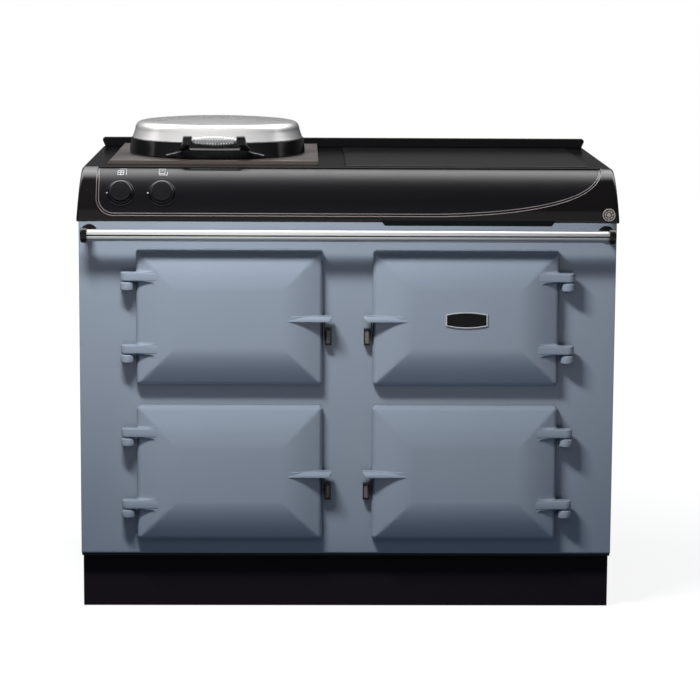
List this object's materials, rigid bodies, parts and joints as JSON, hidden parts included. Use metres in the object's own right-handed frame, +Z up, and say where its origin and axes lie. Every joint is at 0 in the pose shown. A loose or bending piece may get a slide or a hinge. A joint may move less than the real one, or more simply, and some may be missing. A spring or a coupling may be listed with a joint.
{
  "type": "cast iron range cooker",
  "caption": "Wide enamelled range cooker with hinged oven doors, a domed lid over a round hotplate, a flat glass hob, rotary controls and a towel rail.",
  "frame": {"origin": "on the floor, under the middle of the cooker's bounding box", "axes": "+X to the cooker's right seen from the front, -Y out of its front, +Z up"},
  "size_m": [1.098, 0.698, 0.997],
  "materials": {
    "enamel_blue": "glossy vitreous enamel",
    "enamel_black": "glossy vitreous enamel",
    "control_gloss": "gloss",
    "chrome": "polished",
    "stainless": "brushed",
    "plated_steel": "satin zinc plate",
    "bracket_black": "gloss",
    "cast_iron": "ground and oven-black",
    "hob_glass": "black ceramic glass",
    "rope": "woven glass rope",
    "wool": "mineral wool",
    "heater": "oxidised sheath",
    "windings": "bare copper",
    "switch_body": "matte",
    "nylon": "matte"
  },
  "bodies": {
    "cabinet": {"base_pan": "plated_steel", "levelling_feet": "plated_steel", "plinth_front": "enamel_black", "plinth_sides": "enamel_black", "side_panel_left": "enamel_blue", "side_panel_right": "enamel_blue", "back_panel": "plated_steel", "back_screws": "plated_steel", "cable_gland": "nylon", "front_plate": "enamel_blue", "door_seals": "rope", "hinge_lugs": "enamel_blue", "hinge_pins": "chrome", "catch_brackets": "bracket_black", "vent_strip": "bracket_black", "top_plate": "enamel_black", "control_fascia": "enamel_black", "control_panel": "control_gloss", "knob_bezels": "control_gloss", "rotary_switches": "switch_body", "medallion": "stainless", "rear_upstand": "enamel_black", "hotplate_surround": "enamel_black", "hotplate": "cast_iron", "hotplate_element": "heater", "hotplate_pan": "plated_steel", "hob_glass": "hob_glass", "hob_tray": "plated_steel", "induction_coils": "windings", "rail": "chrome", "rail_brackets": "bracket_black", "oven_top_left": "cast_iron", "oven_top_right": "cast_iron", "oven_bottom_left": "cast_iron", "oven_bottom_right": "cast_iron", "oven_shelves": "chrome", "oven_elements": "heater", "insulation": "wool", "lid_hinge_bracket": "bracket_black"},
    "oven_door_top_left": {"door_top_left": "enamel_blue", "door_liner_top_left": "plated_steel"},
    "oven_door_top_right": {"door_top_right": "enamel_blue", "door_liner_top_right": "plated_steel", "badge": "chrome"},
    "oven_door_bottom_left": {"door_bottom_left": "enamel_blue", "door_liner_bottom_left": "plated_steel"},
    "oven_door_bottom_right": {"door_bottom_right": "enamel_blue", "door_liner_bottom_right": "plated_steel"},
    "lid": {"lid_dome": "chrome", "lid_liner": "stainless", "lid_hinge_arm": "bracket_black", "lid_handle_bracket": "bracket_black", "lid_handle_rod": "stainless", "lid_handle_coil": "stainless"},
    "control_left": {"knob_left": "control_gloss"},
    "control_right": {"knob_right": "control_gloss"},
    "catch_roller_top_left": {"roller_top_left": "stainless"},
    "catch_roller_top_right": {"roller_top_right": "stainless"},
    "catch_roller_bottom_left": {"roller_bottom_left": "stainless"},
    "catch_roller_bottom_right": {"roller_bottom_right": "stainless"}
  },
  "joints": [
    {"name": "top_left_door_hinge", "type": "hinge", "parent": "cabinet", "child": "oven_door_top_left", "pos_m": [-0.447, -0.302, 0.612], "axis": [0, 0, -1], "range_deg": [0, 120]},
    {"name": "top_right_door_hinge", "type": "hinge", "parent": "cabinet", "child": "oven_door_top_right", "pos_m": [0.447, -0.302, 0.612], "axis": [0, 0, 1], "range_deg": [0, 120]},
    {"name": "bottom_left_door_hinge", "type": "hinge", "parent": "cabinet", "child": "oven_door_bottom_left", "pos_m": [-0.447, -0.302, 0.2915], "axis": [0, 0, -1], "range_deg": [0, 120]},
    {"name": "bottom_right_door_hinge", "type": "hinge", "parent": "cabinet", "child": "oven_door_bottom_right", "pos_m": [0.447, -0.302, 0.2915], "axis": [0, 0, 1], "range_deg": [0, 120]},
    {"name": "lid_hinge", "type": "hinge", "parent": "cabinet", "child": "lid", "pos_m": [-0.2748, 0.263, 0.938], "axis": [-1, 0, 0], "range_deg": [0, 85]},
    {"name": "left_knob_turn", "type": "hinge", "parent": "cabinet", "child": "control_left", "pos_m": [-0.4595, -0.28256, 0.8635], "axis": [0, -0.8988, 0.4383], "range_deg": [-270, 0]},
    {"name": "right_knob_turn", "type": "hinge", "parent": "cabinet", "child": "control_right", "pos_m": [-0.3765, -0.28256, 0.8635], "axis": [0, -0.8988, 0.4383], "range_deg": [-270, 0]},
    {"name": "top_left_roller_spin", "type": "hinge", "parent": "cabinet", "child": "catch_roller_top_left", "pos_m": [-0.0405, -0.289, 0.57245], "axis": [0, 0, 1], "continuous": true},
    {"name": "top_right_roller_spin", "type": "hinge", "parent": "cabinet", "child": "catch_roller_top_right", "pos_m": [0.0405, -0.289, 0.57245], "axis": [0, 0, 1], "continuous": true},
    {"name": "bottom_left_roller_spin", "type": "hinge", "parent": "cabinet", "child": "catch_roller_bottom_left", "pos_m": [-0.0405, -0.289, 0.25195], "axis": [0, 0, 1], "continuous": true},
    {"name": "bottom_right_roller_spin", "type": "hinge", "parent": "cabinet", "child": "catch_roller_bottom_right", "pos_m": [0.0405, -0.289, 0.25195], "axis": [0, 0, 1], "continuous": true}
  ]
}
